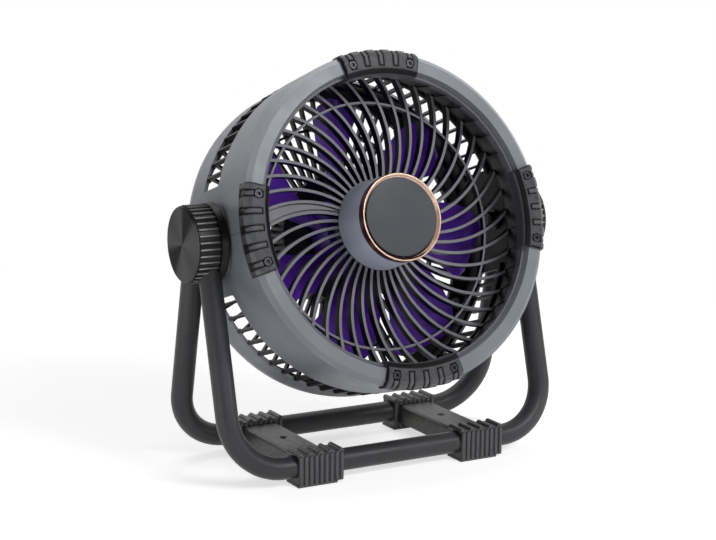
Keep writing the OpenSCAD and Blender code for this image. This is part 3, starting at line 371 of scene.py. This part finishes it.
def foot_rubber():
    """Black rubber of the ribbed feet: painted shade between the ribs, and painted grey highlights
    along their crests.
    """
    f = Finish("foot_rubber")
    front, top = f.turned_to((0, -1, 0)), f.turned_to((0, 0, 1))
    # painted highlight on the crests that face the front or the top, in patches
    crest = front.most(top).ramp(0.6, 1.0) * f.patchy(0.008)
    shown = crest.mix(linear((36, 37, 39)), linear((84, 85, 88)))
    # painted shade along sharp edges, which darkens the valleys between the ribs
    shown = (f.edge(0.0012) * 0.85).mix(shown, linear((14, 14, 15)))
    shine = f.clouds(0.01, 0.38, 0.46)
    return f.shader(Base_Color=shown, Roughness=shine,
                    Normal=f.grained(0.0009, 0.00003, 0.0006))


def turned_cap():
    """Black hub caps, turned on a lathe: fine rings, and a painted fan of dark and pale wedges
    that stands in for their reflections.
    """
    f = Finish("cap_black")
    _, y, z = f.axes(f.vector("SUBTRACT", f.place(), tuple(PIVOT)))
    out = (y * y + z * z) ** 0.5
    turn = z.math("ARCTAN2", z, y * -1.0)
    # painted reflection: dark and pale wedges by the turn round the axis
    upper, lower = ((turn + math.radians(90 - dark_at)).sin().ramp(0.84, 0.99)
                    for dark_at in (67, 218))
    ripple = (turn * 4.0 + 0.9).sin() * 0.16 + 0.84
    ring_at = f.node("ShaderNodeCombineXYZ", None, {0: out * 5200.0, 1: turn * 0.6, 2: 0.0})
    rings = f.node("ShaderNodeTexNoise", None,
                   {"Vector": ring_at, "Scale": 1.0, "Detail": 3.0, "Roughness": 0.6})
    painted_fan = (1.0 - upper.most(lower)) * ripple
    shown = (painted_fan * rings.ramp(0.2, 0.8, 0.8, 1.0)).mix(linear((8, 8, 8)), linear((100, 100, 99)))
    shine = rings.ramp(0.3, 0.7, 0.4, 0.52)
    return f.shader(Base_Color=shown, Roughness=shine, Specular_IOR_Level=0.04,
                    Normal=f.bump(rings, 0.00003, f.rounded(0.0005)))


def rose_copper():
    """Polished rose copper trim with faint cloudy wear.

    Painted shade darkens its outer wall all round, and its inner slope where it turns to the upper
    right."""
    f = Finish("rose_copper")
    tone = f.clouds(0.012)
    shown = tone.mix(linear((246, 204, 176)), linear((252, 218, 196)))
    _, out = f.from_axis(AHEAD)
    # painted shade round the ring's outer wall
    shown = out.ramp(RING_R - 0.0003, RING_R - 0.0001).mix(shown, linear(COPPER_WALL_SHADE))
    # painted shadow on the inner slope where it turns to the upper right
    shaded_slope = f.turned_to((1, 0, 0)) + f.turned_to(UPWARDS)
    shown = shaded_slope.ramp(0.15, 0.5).mix(shown, linear((58, 26, 14)))
    shine = f.noise(0.012, 2.0).ramp(0.3, 0.7, 0.24, 0.3)
    return f.shader(Base_Color=shown, Metallic=0.4, Roughness=shine)


def panel_film():
    """Slate grey display window, with a painted shadow along its edge at the lower left."""
    f = Finish("panel_film")
    tone = f.noise(0.04, 2.0).ramp(0.3, 0.7)
    shown = tone.mix(linear((86, 89, 94)), linear((91, 93, 98)))
    _, out = f.from_axis(AHEAD)
    # painted shadow along the window's edge at its lower left
    lower_left = ((f.reach((1, 0, 0)) + f.reach(UPWARDS)) / out).ramp(-0.3, 0.5, 1.0, 0.0)
    edge = out.ramp(PANEL_R - 0.0014, PANEL_R - 0.0010) * lower_left
    shown = edge.mix(shown, linear((24, 14, 12)))
    shine = f.noise(0.01, 4.0).ramp(0.35, 0.75, 0.13, 0.15)
    return f.shader(Base_Color=shown, Roughness=shine,
                    Normal=f.bump(f.noise(0.006, 2.0), 0.000002, f.rounded(0.0003)))


def blade_plastic():
    """Deep violet gloss plastic of the rotor, with soft flow marks."""
    f = Finish("blade_violet")
    flow = f.noise(0.012, 3.0, (1, 0.3, 1)).ramp(0.3, 0.7)
    shown = flow.mix(linear((94, 42, 170)), linear((112, 58, 194)))
    shine = f.clouds(0.01, 0.3, 0.38)
    return f.shader(Base_Color=shown, Roughness=shine, Coat_Weight=0.15, Coat_Roughness=0.25,
                    Specular_IOR_Level=0.35,
                    Normal=f.bump(f.noise(0.02, 2.0), 0.00012, f.rounded(0.0004)))


def machined(name, colour, rough):
    """Bare or blackened metal of screws and shafts, with turning marks and edges scuffed bright.
    """
    f = Finish(name)
    marks = f.noise(0.0007, 3.0, (1, 1, 0.2))
    base = linear(colour)
    tone = f.clouds(0.008)
    shown = tone.mix(tuple(c * 0.85 for c in base[:3]) + (1.0,), base)
    bright = tuple(min(1.0, c * 1.5 + 0.04) for c in base[:3]) + (1.0,)
    shown = (f.edge(0.0004) * 0.5).mix(shown, bright)
    shine = marks.ramp(0.3, 0.7, rough - 0.06, rough + 0.08)
    return f.shader(Base_Color=shown, Metallic=1.0, Roughness=shine,
                    Normal=f.bump(marks, 0.00001, f.rounded(0.0003)))


def circuit_board():
    """Green board mask with pale tracks."""
    f = Finish("board_mask")
    x, _, z = f.axes(f.place())
    tracks_per_metre = 420.0
    tracks = ((x + z) * tracks_per_metre).fraction().ramp(0.44, 0.5)
    tracks = tracks * f.noise(0.01, 2.0).ramp(0.48, 0.52)
    shown = (tracks * 0.6).mix(linear((24, 74, 44)), linear((70, 128, 84)))
    shine = f.noise(0.003, 2.0).ramp(0.3, 0.7, 0.32, 0.42)
    return f.shader(Base_Color=shown, Roughness=shine, Normal=f.bump(tracks, 0.00003))


def copper_winding():
    """Enamelled wire on the motor's teeth, one turn beside the next."""
    f = Finish("winding_enamel")
    _, out = f.from_axis(AHEAD)
    wire_d = 0.0006
    wires = (out * (2 * math.pi / wire_d)).sin() * 0.5 + 0.5
    shown = wires.mix(linear((96, 46, 22)), linear((190, 106, 62)))
    return f.shader(Base_Color=shown, Metallic=0.8, Roughness=wires.ramp(0.0, 1.0, 0.4, 0.28),
                    Normal=f.bump(wires, 0.0001))


def cell_sleeve():
    """Shrink sleeve on the battery cells, faintly wrinkled."""
    f = Finish("cell_sleeve")
    wrinkle = f.noise(0.004, 4.0, (1, 0.3, 1))
    shown = wrinkle.ramp(0.3, 0.7).mix(linear((40, 74, 140)), linear((52, 90, 160)))
    return f.shader(Base_Color=shown, Roughness=wrinkle.ramp(0.3, 0.7, 0.26, 0.4),
                    Normal=f.bump(wrinkle, 0.00008))


def make_finishes():
    """One material for each of the record's slots."""
    return {
        "tube_black": powder_coat(),
        "plate_grey": plate_paint(),
        "rubber_black": foot_rubber(),
        "hub_black": hub_plastic(),
        "cap_black": turned_cap(),
        "shell_grey": shell_plastic(),
        "duct_dark": duct_plastic(),
        "guard_black": guard_plastic(),
        # each grille gets its painted lit colour, then its painted shade colour
        "grille_grey": grille_plastic("grille_grey", (136, 136, 144), (16, 16, 18)),
        "black_plastic": grille_plastic("black_plastic", (50, 50, 53), (22, 22, 24)),
        "pod_grey": pod_plastic(),
        "copper": rose_copper(),
        "panel_slate": panel_film(),
        "violet": blade_plastic(),
        "steel": machined("steel", (170, 172, 176), 0.3),
        "black_steel": machined("black_steel", (66, 66, 70), 0.38),
        "board_green": circuit_board(),
        "winding": copper_winding(),
        "cell_blue": cell_sleeve(),
    }


def apply_finishes(frame, finishes):
    """Gives every node the finish of its slot; the pivot bolts and nuts are blackened."""
    for part in frame["record"]["subparts"]:
        slot = "black_steel" if part["node"].startswith("pivot_") else part["material_slot"]
        mesh = frame["nodes"][part["node"]].data
        mesh.materials.clear()
        mesh.materials.append(finishes[slot])


# ---------- room, light and camera ----------

def add_camera():
    """Camera at the front left, a little above the fan and turned by half a degree."""
    azimuth, elevation, roll = (math.radians(v) for v in (-29.563, 10.489, 0.530))
    target = Vector((0, PIVOT.y, 0.165))
    distance = 1.47939
    back = Vector((math.sin(azimuth) * math.cos(elevation),
                   -math.cos(azimuth) * math.cos(elevation), math.sin(elevation)))
    level = Vector((math.cos(azimuth), math.sin(azimuth), 0))
    upright = back.cross(level)
    right = level * math.cos(roll) + upright * math.sin(roll)
    up = upright * math.cos(roll) - level * math.sin(roll)
    camera = bpy.data.objects.new("camera", bpy.data.cameras.new("camera"))
    camera.matrix_world = Matrix((right, up, back)).transposed().to_4x4()
    camera.matrix_world.translation = target + back * distance
    camera.data.sensor_width = 36.0
    camera.data.lens = 85.22
    camera.data.shift_x = -0.00776
    camera.data.shift_y = -0.00306
    camera.data.clip_end = 50.0
    bpy.context.scene.collection.objects.link(camera)
    bpy.context.scene.camera = camera


def add_lamp(name, place, aim, size, power):
    """Rectangular lamp that looks from its place to its aim."""
    data = bpy.data.lights.new(name, "AREA")
    data.shape = "RECTANGLE"
    data.size, data.size_y = size
    data.energy = power
    lamp = bpy.data.objects.new(name, data)
    lamp.location = place
    lamp.rotation_euler = (Vector(aim) - Vector(place)).to_track_quat("-Z", "Y").to_euler()
    bpy.context.scene.collection.objects.link(lamp)


def ray_kinds(f):
    """1 for camera rays, and 1 for camera, mirror and see-through rays together."""
    rays = f.tree.nodes.new("ShaderNodeLightPath")
    camera, glossy, through = (Value(f, rays.outputs[n]) for n in
                               ("Is Camera Ray", "Is Glossy Ray", "Is Transmission Ray"))
    return camera, camera.most(glossy.most(through))


def white_room(lit=0.18, shade=0.08, dim=0.1):
    """World that the camera sees white, and that mirrors white behind the object and dim in front.

    Its own light is soft, and weaker from the left."""
    world = bpy.data.worlds.new("room")
    bpy.context.scene.world = world
    f = Finish("room", world)
    right, ahead, _ = f.axes(f.node("ShaderNodeTexCoord", out="Generated"))
    soft = right.ramp(-0.7, 0.3).mix((shade, shade, shade, 1), (lit, lit, lit, 1))
    camera, seen = ray_kinds(f)
    behind = ahead.ramp(-0.2, 0.25) * right.ramp(-0.6, -0.1, 0.4, 1.0)
    backdrop = camera.most(behind).mix((dim, dim, dim, 1), (1, 1, 1, 1))
    glow = f.node("ShaderNodeBackground", None, {"Color": soft, "Strength": 1.0})
    shown = f.node("ShaderNodeBackground", None, {"Color": backdrop, "Strength": 1.0})
    f.surface(f.node("ShaderNodeMixShader", None, {0: seen, 1: glow, 2: shown}))


def add_floor():
    """Wide pale floor that keeps the object's shadow and turns white further out."""
    mesh = bpy.data.meshes.new("floor")
    bm = bmesh.new()
    bmesh.ops.create_grid(bm, x_segments=1, y_segments=1, size=6.0)     # 12 m wide
    bm.to_mesh(mesh)
    bm.free()
    floor = bpy.data.objects.new("floor", mesh)
    bpy.context.scene.collection.objects.link(floor)
    f = Finish("floor")
    x, y, _ = f.axes(f.place())
    far = ((x * x + y * y) ** 0.5).ramp(0.3, 1.0)
    diffuse = f.node("ShaderNodeBsdfDiffuse", None, {"Color": (0.8, 0.8, 0.8, 1)})
    glow = f.node("ShaderNodeEmission", None, {"Color": (1, 1, 1, 1), "Strength": 0.62})
    white = f.node("ShaderNodeEmission", None, {"Color": (1, 1, 1, 1), "Strength": 1.0})
    lifted = f.node("ShaderNodeAddShader", None, {0: diffuse, 1: glow})
    shown = f.node("ShaderNodeMixShader", None, {0: far, 1: lifted, 2: white})
    mesh.materials.append(f.surface(
        f.node("ShaderNodeMixShader", None, {0: ray_kinds(f)[1], 1: diffuse, 2: shown})))


def light_room():
    """Plain room with one main lamp, and weaker ones that open up its shadows."""
    white_room()
    add_floor()
    head = (0, 0, 0.2)
    add_lamp("key", (0.8, -2.0, 1.7), head, (1.2, 0.8), 32.0)
    add_lamp("front", (-0.5, -2.2, 0.3), head, (0.6, 0.4), 4.0)
    add_lamp("right", (1.7, -1.5, 0.35), (0, 0, 0.15), (0.3, 0.5), 5.0)
    add_lamp("back", (-1.0, 1.9, 1.2), head, (0.8, 0.8), 6.0)
    add_lamp("card", (-0.45, -0.12, 0.015), (-0.1, 0, 0.13), (0.3, 0.3), 0.42)
    add_lamp("top", (0.1, 0.5, 2.0), head, (1.4, 1.0), 8.0)


# ---------- the fan ----------

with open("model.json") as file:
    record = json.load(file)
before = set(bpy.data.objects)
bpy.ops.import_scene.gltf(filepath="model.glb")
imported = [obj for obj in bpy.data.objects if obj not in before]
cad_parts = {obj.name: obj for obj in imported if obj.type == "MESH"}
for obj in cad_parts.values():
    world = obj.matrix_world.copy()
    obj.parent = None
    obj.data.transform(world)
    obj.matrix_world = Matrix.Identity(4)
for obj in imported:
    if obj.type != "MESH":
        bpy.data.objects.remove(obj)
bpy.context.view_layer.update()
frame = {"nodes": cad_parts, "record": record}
bpy.context.scene.view_settings.view_transform = "Standard"
add_camera()
apply_finishes(frame, make_finishes())
light_room()
